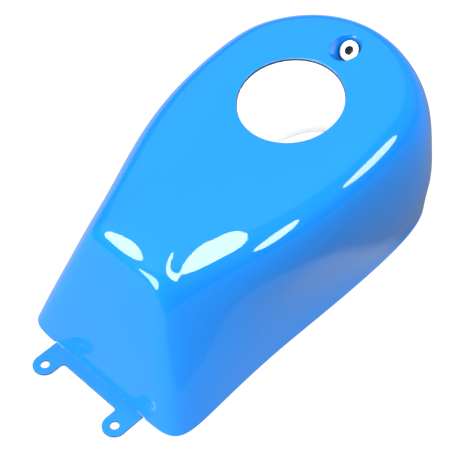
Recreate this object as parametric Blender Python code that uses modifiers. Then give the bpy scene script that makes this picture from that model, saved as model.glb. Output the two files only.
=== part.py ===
"""Motorcycle tank cover: an open, glossy painted shell with its mounting hardware.

Frame: +Z up, +Y towards the front wheel, +X to the rider's right.
The lower edge stands on z = 0 and the origin is under the middle of the whole part.
Sizes below are in millimetres, measured from the foot of the rear wall; MM and
REAR_FOOT turn them into metres in the part's own frame.
"""
import bpy
import bmesh
import math
from mathutils import Vector
from mathutils.bvhtree import BVHTree

MM = 0.001
GAP = 0.4                       # clearance between neighbouring pieces
REAR_FOOT = -213.5              # the rear wall's foot, from the middle of the part
SHARP_ANGLE = math.radians(35.0)

# ---------------------------------------------------------------- skin of the cover
SKIN_THICKNESS = 2.5
SKIN_LEVELS = 1
BELOW_FOOT = -6.0               # the cage runs on below the floor, where it is cut level
FLANK_FRACTIONS = (0.2, 0.45, 0.7, 1.0)
FLANK_END = 330.0               # where the flanks end and the nose begins
# Lines of the outer skin, from the lower edge up to the ridge round the top. Each line
# has its rear corner, its half widths and heights along the flank, where it crosses the
# centre line at the nose, and how square the nose is in plan.
FOOT_LINE = ((118.5, -7.5, BELOW_FOOT), (116.5, 112.5, 116.0, 116.0),
             (BELOW_FOOT,) * 4, (476.0, BELOW_FOOT), 0.66)
KNEE_LINE = ((103.0, 5.0, 38.0), (110.0, 108.5, 112.0, 118.0),
             (40.0, 36.0, 30.0, 26.0), (476.0, 40.0), 0.68)
TUCK_LINE = ((84.5, 20.5, 88.0), (97.0, 109.0, 118.0, 128.0),
             (87.0, 82.0, 71.0, 62.0), (471.0, 85.0), 0.74)
BULGE_LINE = ((70.0, 35.0, 130.0), (89.0, 117.0, 132.0, 135.0),
              (128.0, 132.0, 133.0, 127.0), (457.0, 135.0), 0.88)
SHOULDER_LINE = ((60.0, 45.0, 156.0), (81.0, 113.0, 129.0, 134.0),
                 (154.0, 171.0, 188.0, 195.0), (447.5, 196.0), 1.0)
RIDGE_LINE = ((49.0, 57.0, 166.0), (67.0, 92.0, 104.5, 109.0),
              (174.0, 188.0, 202.0, 217.5), (424.0, 235.5), 1.0)
SKIN_LINES = (FOOT_LINE, KNEE_LINE, TUCK_LINE, BULGE_LINE, SHOULDER_LINE, RIDGE_LINE)
REAR_FRACTIONS = (0.0, 0.62, 0.88)
REAR_BOW = 4.0                  # the rear wall's top bows rearwards by this much
CORNER_STEP = (3.0, 14.0)       # from the rear corner round to the flank, across and along
NOSE_STEPS = 4

# ---------------------------------------------------------------- filler opening
FILLER_Y = 289.0
FILLER_Z = 210.0
FILLER_RADIUS = 58.0
FILLER_LEAN = math.radians(11.3)        # the opening faces slightly rearwards
TOP_RINGS = (0.35, 0.7, 0.9)    # cage rings between the ridge and the opening
TOP_CROWN = 0.02                # how much the top rises between them, for their distance

# ---------------------------------------------------------------- front mounting pocket
POCKET_Y = 386.0
POCKET_Z = 217.0
POCKET_LEAN = math.radians(42.0)        # from upright, the pocket faces up and rearwards
POCKET_MOUTH = 16.6
POCKET_MOUTH_RIM = 3.0          # width of the flat band round the mouth
POCKET_MOUTH_DROP = 0.05        # how far the mouth's edge is turned in, for the depth
POCKET_FLOOR = 13.8
POCKET_BORE = 8.0
POCKET_WINDOW = 24.5
ABOVE_SKIN = 60.0               # rays that look for the skin start this far outside it
HIGH_ABOVE = 400.0

# ---------------------------------------------------------------- front bush and grommet
BUSH_BORE = 5.0
BUSH_BARREL = 6.2
BUSH_FLANGE = 11.2
BUSH_FLANGE_THICKNESS = 1.5
BUSH_LENGTH = 16.0
GROMMET_GROOVE = POCKET_BORE - 0.9
GROMMET_LIP = 12.2
GROMMET_LIP_THICKNESS = 1.2
WASHER_RADIUS = 11.0
WASHER_THICKNESS = 1.5
ROUND_STEPS = 32

# ---------------------------------------------------------------- rear bracket
BRACKET_THICKNESS = 2.0
BRACKET_HALF_WIDTH = 69.0
BRACKET_FRONT = -5.0
WEB_REAR = -18.5
EAR_X = 55.5
EAR_HOLE_Y = -33.0
EAR_RADIUS = 13.5
EAR_HOLE_RADIUS = 5.0
EAR_FILLET = 4.0
EAR_STEPS = 12
FILLET_STEPS = 4
HOLE_STEPS = 24
FLANGE_HALF_WIDTH = 58.0
FLANGE_HEIGHT = 34.0
NOTCH_HALF_WIDTH = 70.0
WALL_SLOPE = 10.0 / 38.0        # how far the rear wall leans forwards for its height

# ---------------------------------------------------------------- seal and pads
SEAL_INNER = FILLER_RADIUS + 1.2
SEAL_OUTER = FILLER_RADIUS + 13.0
SEAL_THICKNESS = 2.0
SEAL_STEPS = 32
PAD_LENGTH = 46.0
PAD_WIDTH = 24.0
PAD_THICKNESS = 7.0
PAD_PLACES = (("front", 84.0, 318.0), ("rear", 38.0, 112.0))
PAD_ROWS = 4
PAD_COLUMNS = 2


def place(x, y, z):
    """A point given in mm from the foot of the rear wall, in the part's frame."""
    return Vector((x, y + REAR_FOOT, z)) * MM


def clear_scene():
    for old in list(bpy.data.objects):
        bpy.data.objects.remove(old, do_unlink=True)


def new_collection(name):
    collection = bpy.data.collections.new(name)
    bpy.context.scene.collection.children.link(collection)
    return collection


def paint(name, color, roughness, metallic=0.0, coat=0.0):
    material = bpy.data.materials.new(name)
    material.use_nodes = True
    shader = material.node_tree.nodes["Principled BSDF"]
    shader.inputs["Base Color"].default_value = (*color, 1.0)
    shader.inputs["Roughness"].default_value = roughness
    shader.inputs["Metallic"].default_value = metallic
    shader.inputs["Coat Weight"].default_value = coat
    return material


def mesh_from(bm, name, outward=True):
    if outward:
        bmesh.ops.recalc_face_normals(bm, faces=bm.faces)
    mesh = bpy.data.meshes.new(name)
    bm.to_mesh(mesh)
    bm.free()
    return mesh


def add_piece(name, mesh, collection, material):
    piece = bpy.data.objects.new(name, mesh)
    collection.objects.link(piece)
    mesh.materials.append(material)
    mesh.shade_smooth()
    mesh.set_sharp_from_angle(angle=SHARP_ANGLE)
    return piece


def add_tool(name, mesh, collection):
    """An object that only shapes the pieces."""
    tool = bpy.data.objects.new(name, mesh)
    collection.objects.link(tool)
    tool.hide_render = True
    tool.display_type = "WIRE"
    return tool


def combine(piece, tool, operation):
    step = piece.modifiers.new(tool.name, "BOOLEAN")
    step.operation = operation
    step.solver = "EXACT"
    step.object = tool


def box_tool(name, low, high, collection):
    bm = bmesh.new()
    bmesh.ops.create_cube(bm, size=1.0)
    bmesh.ops.scale(bm, vec=high - low, verts=bm.verts)
    bmesh.ops.translate(bm, vec=(low + high) / 2.0, verts=bm.verts)
    return add_tool(name, mesh_from(bm, name), collection)


def on_circle(radius, step, steps):
    angle = 2.0 * math.pi * step / steps
    return radius * math.cos(angle), radius * math.sin(angle)


# ---------------------------------------------------------------- the cover's skin
def line_points(line):
    """Half of one cage ring: rear centre, rear corner, flank, and round the nose."""
    corner, widths, heights, nose, squareness = line
    corner_x, corner_y, corner_z = corner
    bow = REAR_BOW * max(corner_z, 0.0) / RIDGE_LINE[0][2]
    points = []
    for fraction in REAR_FRACTIONS:
        bend = bow * (1.0 - fraction ** 2)
        points.append((corner_x * fraction, corner_y - bend, corner_z + bend / 2.0))
    points.append((corner_x + CORNER_STEP[0], corner_y + CORNER_STEP[1], corner_z))
    stations = [corner_y + (FLANK_END - corner_y) * fraction for fraction in FLANK_FRACTIONS]
    points += list(zip(widths, stations, heights))
    last_x, last_y, last_z = points[-1]
    nose_y, nose_z = nose
    for step in range(1, NOSE_STEPS):
        angle = 0.5 * math.pi * step / NOSE_STEPS
        points.append((last_x * math.cos(angle) ** squareness,
                       last_y + (nose_y - last_y) * math.sin(angle) ** squareness,
                       last_z + (nose_z - last_z) * math.sin(angle) ** 2))
    points.append((0.0, nose_y, nose_z))
    return points


def filler_points(count, radius):
    """Half of the filler opening's edge, from the rear round to the front."""
    points = []
    for index in range(count):
        angle = math.pi * index / (count - 1)
        along = -radius * math.cos(angle)
        points.append((radius * math.sin(angle) if 0 < index < count - 1 else 0.0,
                       FILLER_Y + along * math.cos(FILLER_LEAN),
                       FILLER_Z + along * math.sin(FILLER_LEAN)))
    return points


def cage_rings():
    rings = [line_points(line) for line in SKIN_LINES]
    ridge = rings[-1]
    # a smoothed edge pulls in from its cage, so the cage's ring is a little larger
    shrink = (2.0 + math.cos(math.pi / (len(ridge) - 1))) / 3.0
    rim = filler_points(len(ridge), FILLER_RADIUS / shrink)
    for share in TOP_RINGS:
        ring = []
        for start, end in zip(ridge, rim):
            x, y, z = (a + (b - a) * share for a, b in zip(start, end))
            rise = TOP_CROWN * math.dist(start, end) * 4.0 * share * (1.0 - share)
            ring.append((x, y, z + rise))
        rings.append(ring)
    rings.append(rim)
    return rings


def smooth_skin(tools):
    """The outer skin as an open surface, from a coarse half cage."""
    bm = bmesh.new()
    rows = [[bm.verts.new(place(*point)) for point in ring] for ring in cage_rings()]
    for low, high in zip(rows, rows[1:]):
        for left in range(len(low) - 1):
            bm.faces.new((low[left], low[left + 1], high[left + 1], high[left]))
    cage = add_tool("skin_cage", mesh_from(bm, "skin_cage", outward=False), tools)
    mirror = cage.modifiers.new("mirror", "MIRROR")
    mirror.merge_threshold = 0.0001
    smooth = cage.modifiers.new("smooth", "SUBSURF")
    smooth.levels = SKIN_LEVELS
    smooth.render_levels = SKIN_LEVELS
    graph = bpy.context.evaluated_depsgraph_get()
    skin = bpy.data.meshes.new_from_object(cage.evaluated_get(graph))
    bpy.data.objects.remove(cage, do_unlink=True)
    return skin


def pocket_frame():
    """The pocket floor's centre and its across, along and outward directions."""
    outward = Vector((0.0, -math.sin(POCKET_LEAN), math.cos(POCKET_LEAN)))
    across = Vector((1.0, 0.0, 0.0))
    return place(0.0, POCKET_Y, POCKET_Z), across, outward.cross(across), outward


def ordered_loop(edges):
    """The vertices of one closed loop of edges, in order."""
    first = edges[0]
    loop = [first.verts[0], first.verts[1]]
    left = list(edges[1:])
    while left:
        step = next(edge for edge in left if loop[-1] in edge.verts)
        left.remove(step)
        loop.append(step.other_vert(loop[-1]))
    return loop[:-1]


def open_window(bm):
    """Take the faces over the pocket out of the skin; returns the opening's edge."""
    centre, _, _, outward = pocket_frame()
    inside = []
    for face in bm.faces:
        offset = face.calc_center_median() - centre
        flat = offset - outward * offset.dot(outward)
        if flat.length < POCKET_WINDOW * MM and offset.z > -POCKET_WINDOW * MM:
            inside.append(face)
    chosen = set(inside)
    window = [edge for edge in bm.edges
              if sum(face in chosen for face in edge.link_faces) == 1]
    bmesh.ops.delete(bm, geom=inside, context="FACES")
    split = bmesh.ops.subdivide_edges(bm, edges=window, cuts=1)["geom_split"]
    edges = [item for item in split if isinstance(item, bmesh.types.BMEdge)]
    bm.edges.index_update()
    return ordered_loop(sorted(edges, key=lambda edge: edge.index))


def facing(loop):
    """The loop, turned so that it runs round the pocket from its right-hand side."""
    centre, across, along, _ = pocket_frame()
    turns = [math.atan2((vert.co - centre).dot(along), (vert.co - centre).dot(across))
             for vert in loop]
    start = min(range(len(loop)), key=lambda index: abs(turns[index]))
    loop = loop[start:] + loop[:start]
    turns = turns[start:] + turns[:start]
    return loop if turns[1] > turns[0] else [loop[0]] + loop[:0:-1]


def press_pocket(skin):
    """Open a window in the skin and close it with a round, leaning pocket."""
    centre, across, along, outward = pocket_frame()
    bm = bmesh.new()
    bm.from_mesh(skin)
    tree = BVHTree.FromBMesh(bm)
    previous = facing(open_window(bm))
    steps = len(previous)
    profile = ((POCKET_MOUTH + POCKET_MOUTH_RIM, 0.0), (POCKET_MOUTH, POCKET_MOUTH_DROP),
               (POCKET_FLOOR, 1.0), (POCKET_BORE, 1.0))
    for radius, sunk in profile:
        ring = []
        for step in range(steps):
            right, ahead = on_circle(radius, step, steps)
            on_floor = centre + (across * right + along * ahead) * MM
            hit = tree.ray_cast(on_floor + outward * ABOVE_SKIN * MM, -outward)[0]
            ring.append(bm.verts.new(hit.lerp(on_floor, sunk)))
        for step in range(steps):
            after = (step + 1) % steps
            bm.faces.new((previous[step], previous[after], ring[after], ring[step]))
        previous = ring
    return mesh_from(bm, "cover_shell", outward=False)


def make_shell(parts, tools, material):
    """The skin as a wall, cut level at its foot and notched over the bracket."""
    skin = press_pocket(smooth_skin(tools))
    shell = add_piece("cover_shell", skin, parts, material)
    wall = shell.modifiers.new("wall", "SOLIDIFY")
    wall.thickness = SKIN_THICKNESS * MM
    wall.offset = -1.0
    wall.use_quality_normals = True
    floor = box_tool("floor_cut", place(-200.0, -60.0, -40.0), place(200.0, 560.0, 0.0), tools)
    combine(shell, floor, "DIFFERENCE")
    notch_low = place(-NOTCH_HALF_WIDTH, -30.0, -10.0)
    notch_high = place(NOTCH_HALF_WIDTH, 12.0, BRACKET_THICKNESS + GAP)
    combine(shell, box_tool("bracket_notch", notch_low, notch_high, tools), "DIFFERENCE")
    return shell


# ---------------------------------------------------------------- turned pieces of the front mount
def turned(name, profile, collection, material):
    """A ring turned about the pocket's axis; the profile is (radius, height) in mm."""
    bm = bmesh.new()
    corners = [bm.verts.new((radius * MM, 0.0, height * MM)) for radius, height in profile]
    for index, corner in enumerate(corners):
        bm.edges.new((corner, corners[(index + 1) % len(corners)]))
    ring = add_piece(name, mesh_from(bm, name), collection, material)
    ring.location = place(0.0, POCKET_Y, POCKET_Z)
    ring.rotation_euler = (POCKET_LEAN, 0.0, 0.0)
    turn = ring.modifiers.new("turn", "SCREW")
    turn.steps = ROUND_STEPS
    turn.render_steps = ROUND_STEPS
    turn.use_merge_vertices = True
    turn.merge_threshold = 0.0001
    return ring


def make_front_mount(parts, materials):
    bore = BUSH_BARREL + GAP
    lip_top = GAP + GROMMET_LIP_THICKNESS
    under = -SKIN_THICKNESS - GAP
    lip_bottom = under - GROMMET_LIP_THICKNESS
    turned("front_grommet", (
        (bore, lip_top), (GROMMET_LIP, lip_top), (GROMMET_LIP, GAP), (GROMMET_GROOVE, GAP),
        (GROMMET_GROOVE, under), (GROMMET_LIP, under), (GROMMET_LIP, lip_bottom),
        (bore, lip_bottom)), parts, materials["rubber"])
    seat = lip_top + GAP
    face = seat + BUSH_FLANGE_THICKNESS
    turned("front_bush", (
        (BUSH_BORE, face), (BUSH_FLANGE, face), (BUSH_FLANGE, seat), (BUSH_BARREL, seat),
        (BUSH_BARREL, face - BUSH_LENGTH), (BUSH_BORE, face - BUSH_LENGTH)),
        parts, materials["steel"])
    washer_top = lip_bottom - GAP
    washer_bottom = washer_top - WASHER_THICKNESS
    turned("front_washer", (
        (bore, washer_top), (WASHER_RADIUS, washer_top), (WASHER_RADIUS, washer_bottom),
        (bore, washer_bottom)), parts, materials["zinc"])


# ---------------------------------------------------------------- rear bracket
def arc(centre, radius, first, last, steps):
    points = []
    for step in range(steps + 1):
        angle = math.radians(first + (last - first) * step / steps)
        points.append((centre[0] + radius * math.cos(angle), centre[1] + radius * math.sin(angle)))
    return points


def wall_inside(height):
    """How far forward the rear wall's inner face is at a height above the floor."""
    return FOOT_LINE[0][1] + (height - BELOW_FOOT) * WALL_SLOPE + SKIN_THICKNESS + 2.0 * GAP


def bracket_outline():
    """Plan of the bracket's plate, anticlockwise from the front right corner."""
    inner = EAR_X - EAR_RADIUS
    right = [(BRACKET_HALF_WIDTH, BRACKET_FRONT)]
    right += arc((EAR_X, EAR_HOLE_Y), EAR_RADIUS, 0.0, -180.0, EAR_STEPS)
    right += arc((inner - EAR_FILLET, WEB_REAR - EAR_FILLET), EAR_FILLET, 0.0, 90.0, FILLET_STEPS)
    left = [(-x, y) for x, y in reversed(right)]
    tongue = wall_inside(BRACKET_THICKNESS) + BRACKET_THICKNESS
    return right + left + [(-FLANGE_HALF_WIDTH, BRACKET_FRONT), (-FLANGE_HALF_WIDTH, tongue),
                           (FLANGE_HALF_WIDTH, tongue), (FLANGE_HALF_WIDTH, BRACKET_FRONT)]


def make_bracket(parts, tools, material):
    """The plate with its two ears, and the flange that turns up behind the wall."""
    bm = bmesh.new()
    bm.faces.new([bm.verts.new(place(x, y, 0.0)) for x, y in bracket_outline()])
    grown = bmesh.ops.extrude_face_region(bm, geom=list(bm.faces))
    raised = [item for item in grown["geom"] if isinstance(item, bmesh.types.BMVert)]
    bmesh.ops.translate(bm, vec=(0.0, 0.0, BRACKET_THICKNESS * MM), verts=raised)
    bracket = add_piece("rear_bracket", mesh_from(bm, "rear_bracket"), parts, material)

    flange = bmesh.new()
    for x in (-FLANGE_HALF_WIDTH, FLANGE_HALF_WIDTH):
        for z in (BRACKET_THICKNESS / 2.0, FLANGE_HEIGHT):
            for y in (wall_inside(z), wall_inside(z) + BRACKET_THICKNESS):
                flange.verts.new(place(x, y, z))
    bmesh.ops.convex_hull(flange, input=flange.verts)
    combine(bracket, add_tool("upright_flange", mesh_from(flange, "upright_flange"), tools), "UNION")

    for side, x in (("left", -EAR_X), ("right", EAR_X)):
        name = f"ear_hole_{side}"
        drill = bmesh.new()
        bmesh.ops.create_cone(drill, cap_ends=True, segments=HOLE_STEPS, depth=FLANGE_HEIGHT * MM,
                              radius1=EAR_HOLE_RADIUS * MM, radius2=EAR_HOLE_RADIUS * MM)
        bmesh.ops.translate(drill, vec=place(x, EAR_HOLE_Y, 0.0), verts=drill.verts)
        combine(bracket, add_tool(name, mesh_from(drill, name), tools), "DIFFERENCE")
    return bracket


# ---------------------------------------------------------------- pieces stuck under the skin
def under_skin(name, rows, thickness, skin_tree, closed, parts, material):
    """A soft strip that follows the inside of the skin; rows are (x, y) grid points."""
    bm = bmesh.new()
    grid = []
    for row in rows:
        line = []
        for x, y in row:
            hit, normal, _, _ = skin_tree.ray_cast(place(x, y, HIGH_ABOVE), Vector((0.0, 0.0, -1.0)))
            inward = -normal if normal.z > 0.0 else normal
            line.append(bm.verts.new(hit + inward * (SKIN_THICKNESS + GAP) * MM))
        grid.append(line)
    pairs = list(zip(grid, grid[1:]))
    if closed:
        pairs.append((grid[-1], grid[0]))
    for here, there in pairs:
        for column in range(len(here) - 1):
            bm.faces.new((here[column], there[column], there[column + 1], here[column + 1]))
    bm.normal_update()
    if sum(face.normal.z for face in bm.faces) < 0.0:
        bmesh.ops.reverse_faces(bm, faces=bm.faces)
    strip = add_piece(name, mesh_from(bm, name, outward=False), parts, material)
    body = strip.modifiers.new("body", "SOLIDIFY")
    body.thickness = thickness * MM
    body.offset = -1.0
    return strip


def make_seal(skin_tree, parts, material):
    rows = []
    for step in range(SEAL_STEPS):
        row = []
        for radius in (SEAL_INNER, (SEAL_INNER + SEAL_OUTER) / 2.0, SEAL_OUTER):
            back, x = on_circle(radius, step, SEAL_STEPS)
            row.append((x, FILLER_Y - back * math.cos(FILLER_LEAN)))
        rows.append(row)
    under_skin("filler_seal", rows, SEAL_THICKNESS, skin_tree, True, parts, material)


def make_pads(skin_tree, parts, material):
    for end, pad_x, pad_y in PAD_PLACES:
        for side, sign in (("left", -1.0), ("right", 1.0)):
            rows = []
            for row in range(PAD_ROWS + 1):
                y = pad_y + PAD_LENGTH * (row / PAD_ROWS - 0.5)
                rows.append([(sign * (pad_x + PAD_WIDTH * (column / PAD_COLUMNS - 0.5)), y)
                             for column in range(PAD_COLUMNS + 1)])
            under_skin(f"pad_{end}_{side}", rows, PAD_THICKNESS, skin_tree, False, parts, material)


def main():
    clear_scene()
    parts = new_collection("tank_cover")
    tools = new_collection("cutters")
    materials = {
        "paint": paint("blue_gloss_paint", (0.008, 0.26, 0.86), 0.12, coat=1.0),
        "bracket": paint("blue_painted_steel", (0.01, 0.27, 0.84), 0.25, metallic=0.2, coat=0.5),
        "steel": paint("bare_steel", (0.78, 0.80, 0.80), 0.25, metallic=1.0),
        "zinc": paint("zinc_plate", (0.62, 0.63, 0.62), 0.35, metallic=1.0),
        "rubber": paint("black_rubber", (0.02, 0.02, 0.02), 0.7),
        "foam": paint("grey_foam_rubber", (0.10, 0.10, 0.11), 0.95),
    }
    shell = make_shell(parts, tools, materials["paint"])
    make_front_mount(parts, materials)
    make_bracket(parts, tools, materials["bracket"])
    skin = bmesh.new()
    skin.from_mesh(shell.data)
    skin_tree = BVHTree.FromBMesh(skin)
    skin.free()
    make_seal(skin_tree, parts, materials["rubber"])
    make_pads(skin_tree, parts, materials["foam"])


main()
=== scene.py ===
import math
import bpy
import bmesh
from mathutils import Matrix, Vector
from mathutils.bvhtree import BVHTree


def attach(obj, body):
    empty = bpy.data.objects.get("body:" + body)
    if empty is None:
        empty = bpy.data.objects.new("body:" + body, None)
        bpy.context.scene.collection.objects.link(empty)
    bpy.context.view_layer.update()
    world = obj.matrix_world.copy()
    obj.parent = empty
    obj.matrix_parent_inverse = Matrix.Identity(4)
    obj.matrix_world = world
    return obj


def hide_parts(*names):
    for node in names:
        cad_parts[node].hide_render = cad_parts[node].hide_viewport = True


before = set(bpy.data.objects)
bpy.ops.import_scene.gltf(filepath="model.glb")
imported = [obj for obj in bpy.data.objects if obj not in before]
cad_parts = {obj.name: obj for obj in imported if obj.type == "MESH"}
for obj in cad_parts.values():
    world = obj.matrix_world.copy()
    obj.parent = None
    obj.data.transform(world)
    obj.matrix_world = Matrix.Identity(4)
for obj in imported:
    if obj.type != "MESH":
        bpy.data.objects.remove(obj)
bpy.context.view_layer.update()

MM = 0.001
GAP = 0.4
REAR_FOOT = -213.5

# ---------------------------------------------------------------- skin, a little fuller than the part's
SKIN_THICKNESS = 2.5
SKIN_LEVELS = 4
MERGE_DISTANCE = 0.1            # the skin's two halves join within this
BELOW_FOOT = -6.0
FLANK_FRACTIONS = (0.2, 0.45, 0.7, 1.0)    # shares of the way from the rear corner to the end
FLANK_END = 330.0
# each cage line: rear corner, flank half widths and heights, nose (forward, height), squareness
FOOT_LINE = ((118.5, -7.5, BELOW_FOOT), (116.5, 112.5, 116.0, 116.0),
             (BELOW_FOOT,) * 4, (476.0, BELOW_FOOT), 0.66)
KNEE_LINE = ((103.0, 5.0, 38.0), (110.0, 108.5, 112.0, 118.0),
             (40.0, 36.0, 30.0, 26.0), (476.0, 40.0), 0.68)
TUCK_LINE = ((84.5, 20.5, 88.0), (97.0, 109.0, 118.0, 128.0),
             (87.0, 82.0, 71.0, 62.0), (471.0, 85.0), 0.74)
BULGE_LINE = ((70.0, 35.0, 130.0), (91.0, 119.0, 132.5, 135.0),
              (128.0, 132.0, 133.0, 127.0), (457.0, 135.0), 0.88)
SHOULDER_LINE = ((60.0, 45.0, 156.0), (83.5, 115.0, 130.0, 134.0),
                 (155.5, 171.5, 188.0, 195.0), (447.5, 196.0), 1.0)
RIDGE_LINE = ((48.0, 57.0, 165.0), (69.5, 94.0, 106.0, 109.0),
              (176.0, 189.5, 203.0, 217.5), (424.0, 235.5), 1.0)
SKIN_LINES = (FOOT_LINE, KNEE_LINE, TUCK_LINE, BULGE_LINE, SHOULDER_LINE, RIDGE_LINE)
REAR_FRACTIONS = (0.0, 0.62, 0.88)         # from the middle of the rear wall to its corner
CORNER_STEP = (3.0, 14.0)
NOSE_STEPS = 4
FILLER_Y = 289.0                # middle of the filler opening
FILLER_Z = 210.0
FILLER_RADIUS = 58.0
FILLER_LEAN = math.radians(11.3)
TOP_RINGS = (0.35, 0.7, 0.9)
TOP_CROWN = 0.02                # rise of the top as a share of its span
REAR_BOW = 4.0                  # the rear wall bows out this far at its top

# ---------------------------------------------------------------- pocket and front mount
POCKET_Y = 386.0
POCKET_Z = 217.0
POCKET_LEAN = math.radians(42.0)
POCKET_MOUTH = 16.6
POCKET_FLOOR = 13.8
POCKET_BORE = 8.0
POCKET_WINDOW = 21.5
BUSH_BORE = 5.0
BUSH_BARREL = 6.2
BUSH_FLANGE = 11.2
BUSH_FLANGE_THICKNESS = 1.5
BUSH_LENGTH = 19.0
GROMMET_LIP = 12.2
GROMMET_LIP_THICKNESS = 1.2
WASHER_RADIUS = 11.0
WASHER_THICKNESS = 1.5

# ---------------------------------------------------------------- bracket, seal and pads
BRACKET_THICKNESS = 2.0
BRACKET_ROUNDING = 0.45
BRACKET_ROUNDING_ANGLE = math.radians(40.0)
BRACKET_HALF_WIDTH = 69.0
BRACKET_FRONT = -5.0
WEB_REAR = -18.5
EAR_X = 55.5
EAR_HOLE_Y = -33.0
EAR_RADIUS = 13.5
EAR_HOLE_RADIUS = 5.0
EAR_FILLET = 4.0
EAR_STEPS = 40
EAR_FILLET_STEPS = 10
DRILL_SIDES = 64
DRILL_LENGTH = 20.0
FLANGE_HALF_WIDTH = 58.0
FLANGE_HEIGHT = 34.0
NOTCH_HALF_WIDTH = 70.0
NOTCH_REACH = 30.0              # the notch is in the rear wall only, behind this
WALL_SLOPE = 10.0 / 38.0        # forward lean of the rear wall above its foot
SEAL_INNER = FILLER_RADIUS - 0.8
SEAL_BEARING = FILLER_RADIUS + 1.5    # from here outwards the seal lies against the skin
SEAL_OUTER = FILLER_RADIUS + 13.0
SEAL_THICKNESS = 2.0
# the seal's section as (radius, depth under the skin), from its lip outwards and back
SEAL_SECTION = ((SEAL_INNER, 0.7), (SEAL_INNER + 0.3, GAP), (SEAL_OUTER - 0.5, GAP),
                (SEAL_OUTER, 0.9), (SEAL_OUTER, 1.9), (SEAL_OUTER - 0.7, GAP + SEAL_THICKNESS),
                (SEAL_INNER + 1.0, GAP + SEAL_THICKNESS), (SEAL_INNER + 0.3, 2.2),
                (SEAL_INNER, 1.8))
PAD_LENGTH = 46.0
PAD_WIDTH = 24.0
PAD_THICKNESS = 7.0
PAD_SKIRT = 1.0                 # depth of a pad's edge below its crowned face
PAD_EDGE_SHARE = 0.25           # height of the crowned face at its edge, as a share
PAD_CORNER_PULL = 0.04          # share by which the corners are drawn in
PAD_FLATNESS = 10               # the higher, the flatter the crowned face
PAD_COLUMNS = 25
PAD_ROWS = 45
# end, half the spacing across, distance from the rear wall's foot
PAD_PLACES = (("front", 84.0, 318.0), ("rear", 38.0, 112.0))

# ---------------------------------------------------------------- finer shapes
EDGE_RADIUS = 0.7               # rounding of the moulded skin's cut edges
EDGE_TURNS = (12.0, 30.0, 50.0, 70.0, 90.0)
TRIM_TOP = 16.0                 # below this height the skin is drawn up to end at its foot
TRIM_REACH = 15.0               # from this far outside, a level line back meets the skin
NOTCH_CLEARANCE = 0.12          # between the notch and the bracket's plate
NOTCH_RUN = 2.0                 # the notch's ends slope over this width
WINDOW_SHARES = (0.35, 0.7)     # rings between the skin and the pocket's mouth
MOUTH_MARGINS = (1.0, 0.5)      # rings on the skin, just outside the mouth's rounding
MOUTH_FILLET = 1.3
MOUTH_TURNS = (0.0, 18.0, 36.0, 54.0, 72.0, 90.0)
POCKET_WALL_SHARES = (0.25, 0.5, 0.75)
FLOOR_FILLET = 1.8
FLOOR_TURNS = (0.0, 22.5, 45.0, 67.5, 90.0)
BORE_MARGIN = 1.5               # ring on the floor round the pocket's bore
TURN_SMOOTHING = 6              # rounds of evening out the spacing round the pocket
ABOVE_SKIN = 60.0               # the skin is looked for from this far above the pocket's floor
ABOVE_PART = 400.0              # and elsewhere from this height
TURNED_STEPS = 96
GROOVE_CLEARANCE = 0.9          # between the pocket's bore and the grommet's groove
ROUNDING_STEPS = 3
ROUNDING_SHARE = 0.45           # a rounding takes at most this share of a side
GROMMET_ROUNDING = 0.5
BUSH_ROUNDING = 0.35
WASHER_ROUNDING = 0.3
BORE_TOLERANCE = 0.05           # how exactly a face must lie on a bore's radius
SIDE_SHADE_LIMIT = 0.5             # the bracket's sides, painted with shade, face up or down by less than this

# ---------------------------------------------------------------- floor, lights and camera, in metres
CAMERA_AZIMUTH = math.radians(43.9)
CAMERA_ELEVATION = math.radians(48.1)
CAMERA_FIELD = math.radians(22.0)
CAMERA_SENSOR = 36.0            # in millimetres
CAMERA_DISTANCE = 1.2959
CAMERA_TARGET = Vector((0.0, -0.0183, 0.0798))
FLOOR_DROP = 0.0006
FLOOR_SIZE = 40.0
FLOOR_GLOW = 0.93
FLOOR_COLOR = (0.12, 0.12, 0.12)
SHEET_FACING = (1.0, 0.6, 0.0)  # towards the end of the white sheet under the part
SHEET_EDGE = (0.192, 0.222)     # the sheet fades out between these distances that way
SHEET_GLOW = 0.4
SHEET_BEYOND = 0.08
ROOM_COLOR = (0.05, 0.06, 0.08)
BACKDROP_COLOR = (0.9, 0.92, 0.94)
LIGHT_DISTANCE = 20.0
# name, the directions of its two ends as (azimuth, elevation), width in degrees, radiance
SOFTBOXES = (
    ("softbox_left", (193.2, 58.5), (228.3, 35.5), 15.5, 16.0),
    ("softbox_rear", (243.0, 22.0), (277.0, 22.0), 34.0, 12.5),
    ("softbox_top", (184.0, 75.6), (338.0, 41.4), 4.8, 17.5),
    ("softbox_front", (351.6, 43.0), (346.2, 16.5), 7.8, 16.0),
    ("softbox_right", (18.9, 30.6), (37.9, 43.1), 23.4, 13.5),
    ("softbox_nose", (62.0, 16.0), (102.0, 20.0), 32.0, 7.0),
    ("ceiling", (150.0, 18.0), (330.0, 76.0), 80.0, 0.38),
)
SOFTBOXES_WITHOUT_HIGHLIGHT = ("softbox_nose",)
INSIDE_FILL_SIZE = (0.16, 0.34)
INSIDE_FILL_HEIGHT = 0.004
INSIDE_FILL_POWER = 0.8


def place(x, y, z):
    """A point given in mm from the foot of the rear wall, in the part's frame."""
    return Vector((x, y + REAR_FOOT, z)) * MM


def add_piece(name, mesh, *materials):
    """A smooth-shaded object in the scene, with its materials in order."""
    piece = bpy.data.objects.new(name, mesh)
    bpy.context.scene.collection.objects.link(piece)
    for material in materials:
        mesh.materials.append(material)
    mesh.shade_smooth()
    return piece


def stand_for(piece, node):
    """The piece takes the place of a CAD node and moves with the part."""
    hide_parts(node)
    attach(piece, "root")


def applied(piece):
    """The mesh that the piece's modifiers make."""
    graph = bpy.context.evaluated_depsgraph_get()
    return bpy.data.meshes.new_from_object(piece.evaluated_get(graph))


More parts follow.
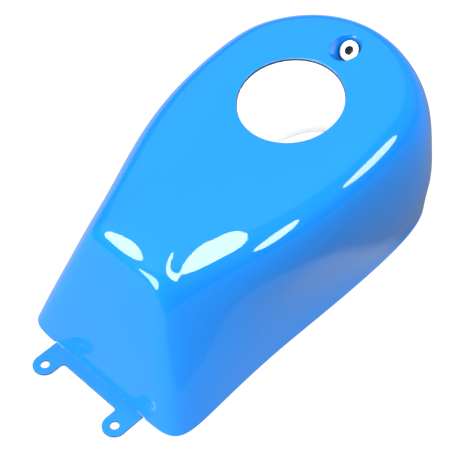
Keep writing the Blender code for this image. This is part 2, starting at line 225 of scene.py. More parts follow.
def mesh_from(bm, name):
    """A mesh of the bmesh, which is freed, with its faces pointing out."""
    bmesh.ops.recalc_face_normals(bm, faces=bm.faces)
    mesh = bpy.data.meshes.new(name)
    bm.to_mesh(mesh)
    bm.free()
    return mesh


def join_rings(bm, first, second, material_index=0):
    """Quads between two closed rings with the same number of vertices."""
    for index in range(len(first)):
        after = (index + 1) % len(first)
        face = bm.faces.new((first[index], first[after], second[after], second[index]))
        face.material_index = material_index


# ---------------------------------------------------------------- the cover's skin
def line_points(line):
    """Half of one cage ring: rear centre, rear corner, flank, and round the nose."""
    corner, widths, heights, nose, squareness = line
    corner_x, corner_y, corner_z = corner
    bow = REAR_BOW * max(corner_z, 0.0) / RIDGE_LINE[0][2]
    points = []
    for fraction in REAR_FRACTIONS:
        bend = bow * (1.0 - fraction ** 2)
        points.append((corner_x * fraction, corner_y - bend, corner_z + bend / 2.0))
    points.append((corner_x + CORNER_STEP[0], corner_y + CORNER_STEP[1], corner_z))
    stations = [corner_y + (FLANK_END - corner_y) * fraction for fraction in FLANK_FRACTIONS]
    points += list(zip(widths, stations, heights))
    last_x, last_y, last_z = points[-1]
    nose_y, nose_z = nose
    for step in range(1, NOSE_STEPS):
        angle = 0.5 * math.pi * step / NOSE_STEPS
        points.append((last_x * math.cos(angle) ** squareness,
                       last_y + (nose_y - last_y) * math.sin(angle) ** squareness,
                       last_z + (nose_z - last_z) * math.sin(angle) ** 2))
    points.append((0.0, nose_y, nose_z))
    return points


def filler_points(count, radius):
    """Half of the filler opening's edge, from the rear round to the front."""
    points = []
    for index in range(count):
        angle = math.pi * index / (count - 1)
        along = -radius * math.cos(angle)
        points.append((radius * math.sin(angle) if 0 < index < count - 1 else 0.0,
                       FILLER_Y + along * math.cos(FILLER_LEAN),
                       FILLER_Z + along * math.sin(FILLER_LEAN)))
    return points


def cage_rings():
    """Half rings of the cage, from the foot up to the ridge and in to the filler opening."""
    rings = [line_points(line) for line in SKIN_LINES]
    ridge = rings[-1]
    # a smoothed edge pulls in from its cage, so the cage's ring is a little larger
    shrink = (2.0 + math.cos(math.pi / (len(ridge) - 1))) / 3.0
    rim = filler_points(len(ridge), FILLER_RADIUS / shrink)
    for share in TOP_RINGS:
        ring = []
        for start, end in zip(ridge, rim):
            x, y, z = (a + (b - a) * share for a, b in zip(start, end))
            ring.append((x, y, z + TOP_CROWN * math.dist(start, end) * 4.0 * share * (1.0 - share)))
        rings.append(ring)
    rings.append(rim)
    return rings


def smooth_skin():
    """The outer skin as an open surface, from a coarse half cage."""
    bm = bmesh.new()
    rows = [[bm.verts.new(place(*point)) for point in ring] for ring in cage_rings()]
    for low, high in zip(rows, rows[1:]):
        for left in range(len(low) - 1):
            bm.faces.new((low[left], low[left + 1], high[left + 1], high[left]))
    mesh = bpy.data.meshes.new("skin_cage")
    bm.to_mesh(mesh)
    bm.free()
    cage = add_piece("skin_cage", mesh)
    mirror = cage.modifiers.new("mirror", "MIRROR")
    mirror.merge_threshold = MERGE_DISTANCE * MM
    smooth = cage.modifiers.new("smooth", "SUBSURF")
    smooth.levels = SKIN_LEVELS
    smooth.render_levels = SKIN_LEVELS
    skin = applied(cage)
    bpy.data.objects.remove(cage, do_unlink=True)
    return skin


def inner_skin(skin):
    """The same surface, moved in by the wall's thickness."""
    inner = skin.copy()
    normals = [vertex.normal.copy() for vertex in skin.vertices]
    for vertex, normal in zip(inner.vertices, normals):
        vertex.co = vertex.co - normal * SKIN_THICKNESS * MM
    return inner


def pocket_frame():
    """The pocket floor's centre and its across, along and outward directions."""
    outward = Vector((0.0, -math.sin(POCKET_LEAN), math.cos(POCKET_LEAN)))
    across = Vector((1.0, 0.0, 0.0))
    return place(0.0, POCKET_Y, POCKET_Z), across, outward.cross(across), outward


def pocket_window(skin):
    """Indices of the faces that the pocket takes out of the skin."""
    centre, _, _, outward = pocket_frame()
    inside = set()
    for face in skin.polygons:
        offset = face.center - centre
        flat = offset - outward * offset.dot(outward)
        if flat.length < POCKET_WINDOW * MM and offset.z > -POCKET_WINDOW * MM:
            inside.add(face.index)
    return inside


def boundary_loops(bm):
    """Every open edge loop of the mesh, as ordered vertices."""
    loops = []
    left = {vert for edge in bm.edges if edge.is_boundary for vert in edge.verts}
    for vert in bm.verts:
        if vert not in left:
            continue
        loop = [vert]
        left.discard(vert)
        while True:
            steps = [edge.other_vert(loop[-1]) for edge in loop[-1].link_edges if edge.is_boundary]
            fresh = [step for step in steps if step in left]
            if not fresh:
                break
            loop.append(fresh[0])
            left.discard(fresh[0])
        loops.append(loop)
    return loops


def pocket_profile(wall):
    """Rings of the pocket as (radius, share, extra height).

    The share is 0 for a height measured from the skin above, 1 for one measured from
    the floor, and in between on the pocket's wall.
    """
    mouth = POCKET_MOUTH + wall
    floor = POCKET_FLOOR + wall
    rings = [(mouth + MOUTH_FILLET + margin, 0.0, 0.0) for margin in MOUTH_MARGINS]
    for turn in MOUTH_TURNS:
        angle = math.radians(turn)
        rings.append((mouth + MOUTH_FILLET * (1.0 - math.sin(angle)), 0.0,
                      -MOUTH_FILLET * (1.0 - math.cos(angle))))
    for share in POCKET_WALL_SHARES:
        rings.append((mouth + (floor - mouth) * share, share, 0.0))
    for turn in FLOOR_TURNS:
        angle = math.radians(turn)
        rings.append((floor - FLOOR_FILLET * (1.0 - math.cos(angle)), 1.0,
                      FLOOR_FILLET * (1.0 - math.sin(angle))))
    rings += [(POCKET_BORE + BORE_MARGIN, 1.0, 0.0), (POCKET_BORE + EDGE_RADIUS, 1.0, 0.0)]
    return rings


def even_turns(loop):
    """The angles at which the loop's vertices lie round the pocket, evened out."""
    centre, across, along, _ = pocket_frame()
    turns = []
    for vert in loop:
        offset = vert.co - centre
        turn = math.atan2(offset.dot(along), offset.dot(across))
        while turns and turn < turns[-1] - math.pi:
            turn += 2.0 * math.pi
        turns.append(turn)
    full = 2.0 * math.pi
    for _ in range(TURN_SMOOTHING):
        before = [turns[-1] - full] + turns[:-1]
        after = turns[1:] + [turns[0] + full]
        turns = [(a + 2.0 * b + c) / 4.0 for a, b, c in zip(before, turns, after)]
    return turns


def press_pocket(bm, window, wall):
    """Take the window out of the skin and close it with the round, leaning pocket."""
    centre, across, along, outward = pocket_frame()
    centre = centre - outward * wall * MM
    tree = BVHTree.FromBMesh(bm)
    bm.faces.ensure_lookup_table()
    bmesh.ops.delete(bm, geom=[bm.faces[index] for index in sorted(window)], context="FACES")
    loop = min(boundary_loops(bm), key=lambda verts: (verts[0].co - centre).length)

    def turn(vert):
        offset = vert.co - centre
        return math.atan2(offset.dot(along), offset.dot(across))

    start = min(range(len(loop)), key=lambda index: abs(turn(loop[index])))
    loop = loop[start:] + loop[:start]
    if turn(loop[1]) < turn(loop[0]):
        loop = [loop[0]] + loop[:0:-1]

    def flatten(point):
        return point - outward * (point - centre).dot(outward)

    def on_skin(point):
        return tree.ray_cast(point + outward * ABOVE_SKIN * MM, -outward)[0]

    flats = [across * math.cos(angle) + along * math.sin(angle) for angle in even_turns(loop)]
    profile = pocket_profile(wall)
    previous = loop
    for share in WINDOW_SHARES:
        ring = []
        for vert, flat in zip(loop, flats):
            point = flatten(vert.co).lerp(centre + flat * profile[0][0] * MM, share)
            ring.append(bm.verts.new(on_skin(point)))
        join_rings(bm, previous, ring)
        previous = ring
    for radius, share, lift in profile:
        ring = []
        for flat in flats:
            on_floor = centre + flat * radius * MM
            depth = (on_skin(on_floor) - on_floor).dot(outward) / MM
            fit = min(1.0, max(depth, 0.0) / (MOUTH_FILLET + FLOOR_FILLET))
            top = depth - MOUTH_FILLET * fit if 0.0 < share < 1.0 else depth
            base = FLOOR_FILLET * fit if 0.0 < share < 1.0 else 0.0
            height = top + (base - top) * share + lift * fit
            ring.append(bm.verts.new(on_floor + outward * height * MM))
        join_rings(bm, previous, ring)
        previous = ring


def foot_height(x, y):
    """Height of the shell's lower edge in mm: level, with a notch over the bracket."""
    if y > place(0.0, NOTCH_REACH, 0.0).y:
        return 0.0
    run = (NOTCH_HALF_WIDTH + NOTCH_RUN - abs(x) / MM) / NOTCH_RUN
    run = max(0.0, min(1.0, run))
    return (BRACKET_THICKNESS + NOTCH_CLEARANCE) * run * run * (3.0 - 2.0 * run)


def trim_foot(bm):
    """Draw the lowest part of the skin up along itself, so that it ends at its foot."""
    bm.normal_update()
    tree = BVHTree.FromBMesh(bm)
    moved = []
    for vert in bm.verts:
        height = vert.co.z / MM
        if height > TRIM_TOP:
            continue
        low = foot_height(vert.co.x, vert.co.y) + EDGE_RADIUS
        share = max(0.0, (height - BELOW_FOOT) / (TRIM_TOP - BELOW_FOOT))
        side = Vector((vert.normal.x, vert.normal.y, 0.0)).normalized()
        level = Vector((vert.co.x, vert.co.y, (low + (TRIM_TOP - low) * share) * MM))
        hit = tree.ray_cast(level + side * TRIM_REACH * MM, -side)[0]
        moved.append((vert, hit if hit else level))
    for vert, point in moved:
        vert.co = point


def close_edge(bm, outer, inner, aim):
    """Join two facing edge loops with a rounded edge that reaches on in the aim's direction."""
    rings = [outer]
    turns = [math.radians(turn) for turn in EDGE_TURNS]
    for start, end, angles in ((outer, inner, turns), (inner, outer, turns[::-1])):
        for angle in angles:
            ring = []
            for here, there in zip(start, end):
                through = (there.co - here.co).normalized()
                reach = aim(here.co)
                reach = (reach - through * reach.dot(through)).normalized()
                offset = reach * math.sin(angle) + through * (1.0 - math.cos(angle))
                ring.append(bm.verts.new(here.co + offset * EDGE_RADIUS * MM))
            rings.append(ring)
    rings.append(inner)
    for first, second in zip(rings, rings[1:]):
        join_rings(bm, first, second)


def matched(loop, target):
    """The loop's vertices in the order in which they face the target's."""
    start = min(range(len(loop)), key=lambda index: (loop[index].co - target[0].co).length)
    loop = loop[start:] + loop[:start]
    backwards = [loop[0]] + loop[:0:-1]
    quarter = len(loop) // 4
    ahead = (loop[quarter].co - target[quarter].co).length
    behind = (backwards[quarter].co - target[quarter].co).length
    return loop if ahead < behind else backwards


def make_shell(materials):
    """The moulded shell: painted skin, white inside, and rounded, painted edges."""
    outer = smooth_skin()
    inner = inner_skin(outer)
    window = pocket_window(outer)
    filler = place(0.0, FILLER_Y, FILLER_Z)
    pocket = pocket_frame()[0]
    bm = bmesh.new()
    sides = []
    for mesh, wall in ((outer, 0.0), (inner, SKIN_THICKNESS)):
        side = bmesh.new()
        side.from_mesh(mesh)
        press_pocket(side, window, wall)
        trim_foot(side)
        for face in side.faces:
            face.material_index = 1 if wall else 0
        part = bpy.data.meshes.new("side")
        side.to_mesh(part)
        side.free()
        known = len(bm.verts)
        bm.from_mesh(part)
        sides.append((known, len(bm.verts)))
    loops = boundary_loops(bm)

    def loop_near(side, distance):
        low, high = side
        own = [loop for loop in loops if low <= loop[0].index < high]
        return min(own, key=lambda loop: distance(sum((vert.co for vert in loop), Vector()) / len(loop)))

    bm.verts.index_update()
    # foot, filler opening and pocket bore: how near a loop is, and where its rounded edge faces
    edges = (
        (lambda middle: middle.z, lambda point: Vector((0.0, 0.0, -1.0))),
        (lambda middle: (middle - filler).length, lambda point: filler - point),
        (lambda middle: (middle - pocket).length, lambda point: pocket - point),
    )
    pairs = []
    for distance, aim in edges:
        top = loop_near(sides[0], distance)
        under = matched(loop_near(sides[1], distance), top)
        pairs.append((top, under, aim))
    for vert in pairs[1][0] + pairs[1][1]:
        away = vert.co - filler
        away.z = 0.0
        vert.co += away.normalized() * EDGE_RADIUS * MM
    for top, under, aim in pairs:
        close_edge(bm, top, under, aim)
    shell = add_piece("painted_shell", mesh_from(bm, "painted_shell"), *materials)
    stand_for(shell, "cover_shell")


# ---------------------------------------------------------------- turned pieces of the front mount
def rounded_profile(points, radius):
    """A closed profile's corners, rounded."""
    rounded = []
    for index, corner in enumerate(points):
        corner = Vector(corner)
        before = Vector(points[index - 1]) - corner
        after = Vector(points[(index + 1) % len(points)]) - corner
        cut = min(radius, before.length * ROUNDING_SHARE, after.length * ROUNDING_SHARE)
        start = corner + before.normalized() * cut
        end = corner + after.normalized() * cut
        for step in range(ROUNDING_STEPS + 1):
            share = step / ROUNDING_STEPS
            a = start.lerp(corner, share)
            b = corner.lerp(end, share)
            rounded.append(a.lerp(b, share))
    return rounded


def turned(name, profile, radius, *materials):
    """A ring turned about the pocket's axis; the profile is (radius, height) in mm.

    A second material goes on the wall of its bore.
    """
    centre, across, along, outward = pocket_frame()
    bm = bmesh.new()
    rings = []
    rounded = rounded_profile(profile, radius)
    bore = min(spread for spread, _ in profile) + BORE_TOLERANCE
    for spread, height in rounded:
        ring = []
        for step in range(TURNED_STEPS):
            angle = 2.0 * math.pi * step / TURNED_STEPS
            flat = across * math.cos(angle) + along * math.sin(angle)
            ring.append(bm.verts.new(centre + (flat * spread + outward * height) * MM))
        rings.append(ring)
    for index in range(len(rings)):
        following = (index + 1) % len(rings)
        in_bore = max(rounded[index][0], rounded[following][0]) < bore
        join_rings(bm, rings[index], rings[following], int(in_bore and len(materials) > 1))
    return add_piece(name, mesh_from(bm, name), *materials)


def make_front_mount(materials):
    """The grommet in the pocket's floor, the flanged bush in it and the washer under it."""
    groove = POCKET_BORE - GROOVE_CLEARANCE
    top = GROMMET_LIP_THICKNESS + GAP
    under = -SKIN_THICKNESS - GAP
    bore = BUSH_BARREL + GAP
    grommet = turned("rubber_grommet", (
        (bore, top), (GROMMET_LIP, top), (GROMMET_LIP, GAP), (groove, GAP),
        (groove, under), (GROMMET_LIP, under), (GROMMET_LIP, under - GROMMET_LIP_THICKNESS),
        (bore, under - GROMMET_LIP_THICKNESS)), GROMMET_ROUNDING, materials["rubber"])
    stand_for(grommet, "front_grommet")
    seat = top + GAP
    face = seat + BUSH_FLANGE_THICKNESS
    # the bush's bore gets painted shade, a near-black colour for the shade inside it
    bush = turned("steel_bush", (
        (BUSH_BORE, face), (BUSH_FLANGE, face), (BUSH_FLANGE, seat), (BUSH_BARREL, seat),
        (BUSH_BARREL, face - BUSH_LENGTH), (BUSH_BORE, face - BUSH_LENGTH)),
        BUSH_ROUNDING, materials["steel"], materials["bore"])
    stand_for(bush, "front_bush")
    washer_top = under - GROMMET_LIP_THICKNESS - GAP
    washer = turned("retaining_washer", (
        (bore, washer_top), (WASHER_RADIUS, washer_top),
        (WASHER_RADIUS, washer_top - WASHER_THICKNESS), (bore, washer_top - WASHER_THICKNESS)),
        WASHER_ROUNDING, materials["zinc"])
    stand_for(washer, "front_washer")


# ---------------------------------------------------------------- rear bracket
def arc(centre, radius, first, last, steps):
    """Points on an arc between two angles in degrees."""
    points = []
    for step in range(steps + 1):
        angle = math.radians(first + (last - first) * step / steps)
        points.append((centre[0] + radius * math.cos(angle), centre[1] + radius * math.sin(angle)))
    return points


def wall_inside(height):
    """How far forward the rear wall's inner face is at a height above the floor."""
    return FOOT_LINE[0][1] + (height - BELOW_FOOT) * WALL_SLOPE + SKIN_THICKNESS + 2.0 * GAP


def bracket_outline():
    """Plan of the bracket's plate, anticlockwise from the front right corner."""
    inner = EAR_X - EAR_RADIUS
    right = [(BRACKET_HALF_WIDTH, BRACKET_FRONT)]
    right += arc((EAR_X, EAR_HOLE_Y), EAR_RADIUS, 0.0, -180.0, EAR_STEPS)
    right += arc((inner - EAR_FILLET, WEB_REAR - EAR_FILLET), EAR_FILLET, 0.0, 90.0,
                 EAR_FILLET_STEPS)
    left = [(-x, y) for x, y in reversed(right)]
    front = wall_inside(BRACKET_THICKNESS)
    return right + left + [(-FLANGE_HALF_WIDTH, BRACKET_FRONT), (-FLANGE_HALF_WIDTH, front),
                           (FLANGE_HALF_WIDTH, front), (FLANGE_HALF_WIDTH, BRACKET_FRONT)]


def make_bracket(paint, side_shade):
    """The pressed plate with its ears, and the flange that turns up behind the wall.

    Its sides get painted shade: a dark blue for the shadow along them.
    """
    bm = bmesh.new()
    low = [bm.verts.new(place(x, y, 0.0)) for x, y in bracket_outline()]
    bm.faces.new(low)
    grown = bmesh.ops.extrude_face_region(bm, geom=list(bm.faces))
    raised = [item for item in grown["geom"] if isinstance(item, bmesh.types.BMVert)]
    bmesh.ops.translate(bm, vec=(0.0, 0.0, BRACKET_THICKNESS * MM), verts=raised)
    bracket = add_piece("painted_bracket", mesh_from(bm, "painted_bracket"), paint)
    tools = []
    flange = bmesh.new()
    for x in (-FLANGE_HALF_WIDTH, FLANGE_HALF_WIDTH):
        for z in (BRACKET_THICKNESS / 2.0, FLANGE_HEIGHT):
            rear = wall_inside(z)
            flange.verts.new(place(x, rear, z))
            flange.verts.new(place(x, rear + BRACKET_THICKNESS, z))
    bmesh.ops.convex_hull(flange, input=flange.verts)
    tools.append(("UNION", add_piece("upright", mesh_from(flange, "upright"))))
    for side in (-1.0, 1.0):
        drill = bmesh.new()
        bmesh.ops.create_cone(drill, cap_ends=True, segments=DRILL_SIDES,
                              radius1=EAR_HOLE_RADIUS * MM, radius2=EAR_HOLE_RADIUS * MM,
                              depth=DRILL_LENGTH * MM)
        bmesh.ops.translate(drill, vec=place(side * EAR_X, EAR_HOLE_Y, 0.0), verts=drill.verts)
        tools.append(("DIFFERENCE", add_piece("drill", mesh_from(drill, "drill"))))
    for operation, tool in tools:
        step = bracket.modifiers.new("shape", "BOOLEAN")
        step.operation = operation
        step.solver = "EXACT"
        step.object = tool
    rounding = bracket.modifiers.new("rounding", "BEVEL")
    rounding.width = BRACKET_ROUNDING * MM
    rounding.segments = ROUNDING_STEPS
    rounding.limit_method = "ANGLE"
    rounding.angle_limit = BRACKET_ROUNDING_ANGLE
    rounding.harden_normals = True
    shaped = applied(bracket)
    for _, tool in tools:
        bpy.data.objects.remove(tool, do_unlink=True)
    bracket.modifiers.clear()
    shaped.materials.append(side_shade)
    # painted shade: the plate's sides get a dark blue for the shadow along them
    for face in shaped.polygons:
        low = face.center.z < BRACKET_THICKNESS * MM
        if low and abs(face.normal.z) < SIDE_SHADE_LIMIT:
            face.material_index = 1
    bracket.data = shaped
    stand_for(bracket, "rear_bracket")


# ---------------------------------------------------------------- pieces stuck under the skin
def underside(tree, x, y):
    """The inner face of the wall above (x, y), and the direction into the hollow."""
    hit, normal, *_ = tree.ray_cast(place(x, y, ABOVE_PART), Vector((0.0, 0.0, -1.0)))
    inward = -normal if normal.z > 0.0 else normal
    return hit + inward * SKIN_THICKNESS * MM, inward


def make_seal(tree, material):
    """A rubber ring under the filler opening, with a thin lip on its inner edge."""
    bm = bmesh.new()
    rings = []
    for spread, depth in SEAL_SECTION:
        ring = []
        under_skin = max(spread, SEAL_BEARING)
        for step in range(TURNED_STEPS):
            angle = 2.0 * math.pi * step / TURNED_STEPS
            x = under_skin * math.sin(angle)
            y = FILLER_Y - under_skin * math.cos(angle) * math.cos(FILLER_LEAN)
            point, inward = underside(tree, x, y)
            to_middle = (place(0.0, FILLER_Y, FILLER_Z) - point).normalized()
            point += to_middle * (under_skin - spread) * MM
            ring.append(bm.verts.new(point + inward * depth * MM))
        rings.append(ring)
    for index in range(len(rings)):
        join_rings(bm, rings[index], rings[(index + 1) % len(rings)])
    seal = add_piece("seal_ring", mesh_from(bm, "seal_ring"), material)
    stand_for(seal, "filler_seal")


def make_pad(name, node, pad_x, pad_y, tree, material):
    """A foam pad that follows the wall, with a crowned face and soft corners."""
    bm = bmesh.new()
    layers = ([], [])
    for row in range(PAD_ROWS):
        v = 2.0 * row / (PAD_ROWS - 1) - 1.0
        for column in range(PAD_COLUMNS):
            u = 2.0 * column / (PAD_COLUMNS - 1) - 1.0
            reach = max(abs(u), abs(v))
            round_off = 1.0 - PAD_CORNER_PULL * (u * v) ** 4
            x = pad_x + 0.5 * PAD_WIDTH * u * round_off
            y = pad_y + 0.5 * PAD_LENGTH * v * round_off
            point, inward = underside(tree, x, y)
            crown = max(0.0, 1.0 - reach ** PAD_FLATNESS) ** 0.5
            rise = PAD_EDGE_SHARE + (1.0 - PAD_EDGE_SHARE) * crown
            depths = (GAP, GAP + PAD_SKIRT + (PAD_THICKNESS - PAD_SKIRT) * rise)
            for layer, depth in zip(layers, depths):
                layer.append(bm.verts.new(point + inward * depth * MM))
    for layer in layers:
        for row in range(PAD_ROWS - 1):
            for column in range(PAD_COLUMNS - 1):
                corner = row * PAD_COLUMNS + column
                bm.faces.new((layer[corner], layer[corner + 1],
                              layer[corner + PAD_COLUMNS + 1], layer[corner + PAD_COLUMNS]))
    border = list(range(PAD_COLUMNS))
    border += [row * PAD_COLUMNS + PAD_COLUMNS - 1 for row in range(1, PAD_ROWS)]
    border += [(PAD_ROWS - 1) * PAD_COLUMNS + column for column in range(PAD_COLUMNS - 2, -1, -1)]
    border += [row * PAD_COLUMNS for row in range(PAD_ROWS - 2, 0, -1)]
    join_rings(bm, [layers[0][index] for index in border], [layers[1][index] for index in border])
    pad = add_piece(name, mesh_from(bm, name), material)
    stand_for(pad, node)


def make_pads(tree, material):
    """Two pairs of pads, near the front and the rear of the top."""
    for end, pad_x, pad_y in PAD_PLACES:
        for side, sign in (("left", -1.0), ("right", 1.0)):
            make_pad(f"foam_pad_{end}_{side}", f"pad_{end}_{side}", sign * pad_x, pad_y, tree, material)


# ---------------------------------------------------------------- materials
def principled(name, color, roughness, **sockets):
    """A node material and its shader, with any further sockets by name."""
    material = bpy.data.materials.new(name)
    material.use_nodes = True
    shader = material.node_tree.nodes["Principled BSDF"]
    shader.inputs["Base Color"].default_value = (*color, 1.0)
    shader.inputs["Roughness"].default_value = roughness
    for socket, value in sockets.items():
        shader.inputs[socket.replace("_", " ")].default_value = value
    return material, shader


def object_noise(material, scale, detail):
    """A noise texture in the part's own coordinates."""
    tree = material.node_tree
    coordinates = tree.nodes.new("ShaderNodeTexCoord")
    noise = tree.nodes.new("ShaderNodeTexNoise")
    noise.inputs["Scale"].default_value = scale
    noise.inputs["Detail"].default_value = detail
    tree.links.new(coordinates.outputs["Object"], noise.inputs["Vector"])
    return noise.outputs["Fac"]


def mixed_color(material, factor, first, second):
    """The colour socket of a blend between two colours."""
    tree = material.node_tree
    mix = tree.nodes.new("ShaderNodeMix")
    mix.data_type = "RGBA"
    mix.inputs["A"].default_value = (*first, 1.0)
    mix.inputs["B"].default_value = (*second, 1.0)
    tree.links.new(factor, mix.inputs["Factor"])
    return mix.outputs["Result"]


def bump(material, source, distance, strength, *sockets):
    """Relief of the given depth in metres, on the shader's normal sockets."""
    tree = material.node_tree
    shader = tree.nodes["Principled BSDF"]
    node = tree.nodes.new("ShaderNodeBump")
    node.inputs["Distance"].default_value = distance
    node.inputs["Strength"].default_value = strength
    tree.links.new(source, node.inputs["Height"])
    for socket in sockets or ("Normal",):
        tree.links.new(node.outputs["Normal"], shader.inputs[socket])


def gloss_paint():
    """Solid blue lacquer: an even colour under a clear, faintly rippled coat."""
    material, shader = principled("blue_gloss_paint", (0.006, 0.21, 0.71), 0.35, Coat_Weight=1.0,
                                  Coat_Roughness=0.02, Specular_IOR_Level=0.04)
    links = material.node_tree.links
    cloud = object_noise(material, 9.0, 2.0)
    links.new(mixed_color(material, cloud, (0.006, 0.205, 0.70), (0.007, 0.215, 0.72)),
              shader.inputs["Base Color"])
    bump(material, object_noise(material, 220.0, 2.0), 0.00002, 0.25, "Coat Normal")
    return material


def bare_inside():
    """White moulded plastic, slightly uneven, as it leaves the mould."""
    material, shader = principled("white_moulding", (0.86, 0.86, 0.85), 0.5)
    links = material.node_tree.links
    cloud = object_noise(material, 30.0, 4.0)
    links.new(mixed_color(material, cloud, (0.82, 0.83, 0.83), (0.9, 0.9, 0.89)),
              shader.inputs["Base Color"])
    bump(material, object_noise(material, 900.0, 4.0), 0.0001, 0.4)
    return material


def bracket_paint():
    """Blue enamel on sheet steel, less smooth than the shell."""
    material, _ = principled("blue_painted_steel", (0.006, 0.215, 0.6), 0.3, Coat_Weight=0.6,
                             Coat_Roughness=0.06)
    bump(material, object_noise(material, 260.0, 3.0), 0.00004, 0.4, "Coat Normal", "Normal")
    return material


def painted_shade_side():
    """Painted shade: the bracket's sides in a dark blue, for the shadow along them."""
    material, _ = principled("painted_shade_side", (0.01, 0.07, 0.2), 0.5)
    bump(material, object_noise(material, 800.0, 4.0), 0.00006, 0.5)
    return material


def bare_steel():
    """Machined, unpainted steel."""
    material, _ = principled("bare_steel", (0.5, 0.54, 0.53), 0.4, Metallic=1.0)
    bump(material, object_noise(material, 700.0, 4.0), 0.00003, 0.3)
    return material


def painted_shade_bore():
    """Painted shade: the inside of the bush, coloured near black for the shade in its bore."""
    material, _ = principled("painted_shade_bore", (0.012, 0.013, 0.015), 0.7)
    bump(material, object_noise(material, 900.0, 4.0), 0.00005, 0.4)
    return material


def zinc_plate():
    """Dull zinc-plated steel."""
    material, _ = principled("zinc_plate", (0.66, 0.67, 0.66), 0.38, Metallic=1.0)
    bump(material, object_noise(material, 900.0, 5.0), 0.00005, 0.4)
    return material


def black_rubber():
    """Black rubber with a matt, finely grained face."""
    material, _ = principled("black_rubber", (0.012, 0.012, 0.014), 0.7)
    bump(material, object_noise(material, 1200.0, 4.0), 0.00008, 0.5)
    return material


def grey_foam():
    """Dark, open foam rubber."""
    material, _ = principled("grey_foam_rubber", (0.06, 0.06, 0.065), 0.95)
    bump(material, object_noise(material, 1500.0, 5.0), 0.0005, 0.8)
    return material


# ---------------------------------------------------------------- floor, lights and camera
def make_floor():
    """A plain pale floor, of which the paint reflects only the sheet under the part."""
    bpy.ops.mesh.primitive_plane_add(size=FLOOR_SIZE, location=(0.0, 0.0, -FLOOR_DROP))
    floor = bpy.context.active_object
    floor.name = "studio_floor"
    material, shader = principled("pale_floor", FLOOR_COLOR, 0.9, Specular_IOR_Level=0.0)
    shader.inputs["Emission Color"].default_value = (1.0, 1.0, 1.0, 1.0)
    tree = material.node_tree
    coordinates = tree.nodes.new("ShaderNodeTexCoord")
    across = tree.nodes.new("ShaderNodeVectorMath")
    across.operation = "DOT_PRODUCT"
    across.inputs[1].default_value = SHEET_FACING
    edge = tree.nodes.new("ShaderNodeMapRange")
    edge.interpolation_type = "SMOOTHSTEP"
    edge.inputs["From Min"].default_value = SHEET_EDGE[0]
    edge.inputs["From Max"].default_value = SHEET_EDGE[1]
    edge.inputs["To Min"].default_value = SHEET_GLOW
    edge.inputs["To Max"].default_value = SHEET_BEYOND
    seen = tree.nodes.new("ShaderNodeLightPath")
    mix = tree.nodes.new("ShaderNodeMix")
    mix.inputs["B"].default_value = FLOOR_GLOW
    tree.links.new(coordinates.outputs["Object"], across.inputs[0])
    tree.links.new(across.outputs["Value"], edge.inputs["Value"])
    tree.links.new(seen.outputs["Is Camera Ray"], mix.inputs["Factor"])
    tree.links.new(edge.outputs["Result"], mix.inputs["A"])
    tree.links.new(mix.outputs["Result"], shader.inputs["Emission Strength"])
    floor.data.materials.append(material)


def direction(azimuth, elevation):
    """A unit vector towards a compass angle from +X and a height angle, in degrees."""
    a = math.radians(azimuth)
    e = math.radians(elevation)
    return Vector((math.cos(a) * math.cos(e), math.sin(a) * math.cos(e), math.sin(e)))


def area_light(name, shape, length, width, power):
    """An area light that faces down from the origin and isn't seen itself."""
    data = bpy.data.lights.new(name, "AREA")
    data.shape = shape
    data.size = length
    data.size_y = width
    data.energy = power
    lamp = bpy.data.objects.new(name, data)
    bpy.context.scene.collection.objects.link(lamp)
    lamp.visible_camera = False
    return lamp


def softbox(name, start, end, width, radiance):
    """A distant, flat light from one direction to another, seen as this many degrees wide."""
    first = direction(*start)
    last = direction(*end)
    towards = (first + last).normalized()
    along = (last - first).normalized()
    across = towards.cross(along)
    long_side = 2.0 * LIGHT_DISTANCE * math.tan(first.angle(last) / 2.0)
    short_side = 2.0 * LIGHT_DISTANCE * math.tan(math.radians(width) / 2.0)
    area = 0.25 * math.pi * long_side * short_side
    lamp = area_light(name, "ELLIPSE", long_side, short_side, math.pi * radiance * area)
    lamp.location = towards * LIGHT_DISTANCE
    lamp.rotation_euler = Matrix((along, across, towards)).transposed().to_euler()
    lamp.visible_glossy = name not in SOFTBOXES_WITHOUT_HIGHLIGHT


def fill_inside():
    """A low, upward light under the cover, so that its white inside shows."""
    lamp = area_light("inside_fill", "RECTANGLE", *INSIDE_FILL_SIZE, INSIDE_FILL_POWER)
    lamp.location = (0.0, 0.0, INSIDE_FILL_HEIGHT)
    lamp.rotation_euler = (math.pi, 0.0, 0.0)


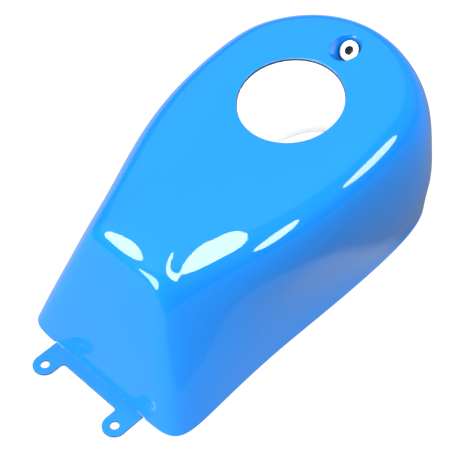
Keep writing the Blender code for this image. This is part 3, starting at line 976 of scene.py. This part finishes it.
def make_world():
    """A dim room round the part, in front of a pale backdrop."""
    world = bpy.data.worlds.new("studio")
    world.use_nodes = True
    tree = world.node_tree
    background = tree.nodes["Background"]
    seen = tree.nodes.new("ShaderNodeLightPath")
    mix = tree.nodes.new("ShaderNodeMix")
    mix.data_type = "RGBA"
    mix.inputs["A"].default_value = (*ROOM_COLOR, 1.0)
    mix.inputs["B"].default_value = (*BACKDROP_COLOR, 1.0)
    tree.links.new(seen.outputs["Is Camera Ray"], mix.inputs["Factor"])
    tree.links.new(mix.outputs["Result"], background.inputs["Color"])
    bpy.context.scene.world = world


def make_camera():
    """A camera above the right rear corner, aimed at the middle of the part."""
    data = bpy.data.cameras.new("camera")
    data.sensor_width = CAMERA_SENSOR
    data.lens = data.sensor_width / 2.0 / math.tan(CAMERA_FIELD / 2.0)
    camera = bpy.data.objects.new("camera", data)
    bpy.context.scene.collection.objects.link(camera)
    back = Vector((math.sin(CAMERA_AZIMUTH) * math.cos(CAMERA_ELEVATION),
                   -math.cos(CAMERA_AZIMUTH) * math.cos(CAMERA_ELEVATION),
                   math.sin(CAMERA_ELEVATION)))
    camera.location = CAMERA_TARGET + back * CAMERA_DISTANCE
    camera.rotation_euler = back.to_track_quat("Z", "Y").to_euler()
    bpy.context.scene.camera = camera
    bpy.context.scene.view_settings.view_transform = "Standard"


def main():
    materials = {"paint": gloss_paint(), "inside": bare_inside(), "bracket": bracket_paint(),
                 "side_shade": painted_shade_side(), "steel": bare_steel(), "bore": painted_shade_bore(),
                 "zinc": zinc_plate(), "rubber": black_rubber(), "foam": grey_foam()}
    make_shell((materials["paint"], materials["inside"]))
    make_front_mount(materials)
    make_bracket(materials["bracket"], materials["side_shade"])
    skin = bmesh.new()
    skin.from_mesh(smooth_skin())
    tree = BVHTree.FromBMesh(skin)
    skin.free()
    make_seal(tree, materials["rubber"])
    make_pads(tree, materials["foam"])
    make_floor()
    for name, start, end, width, radiance in SOFTBOXES:
        softbox(name, start, end, width, radiance)
    fill_inside()
    make_world()
    make_camera()


main()
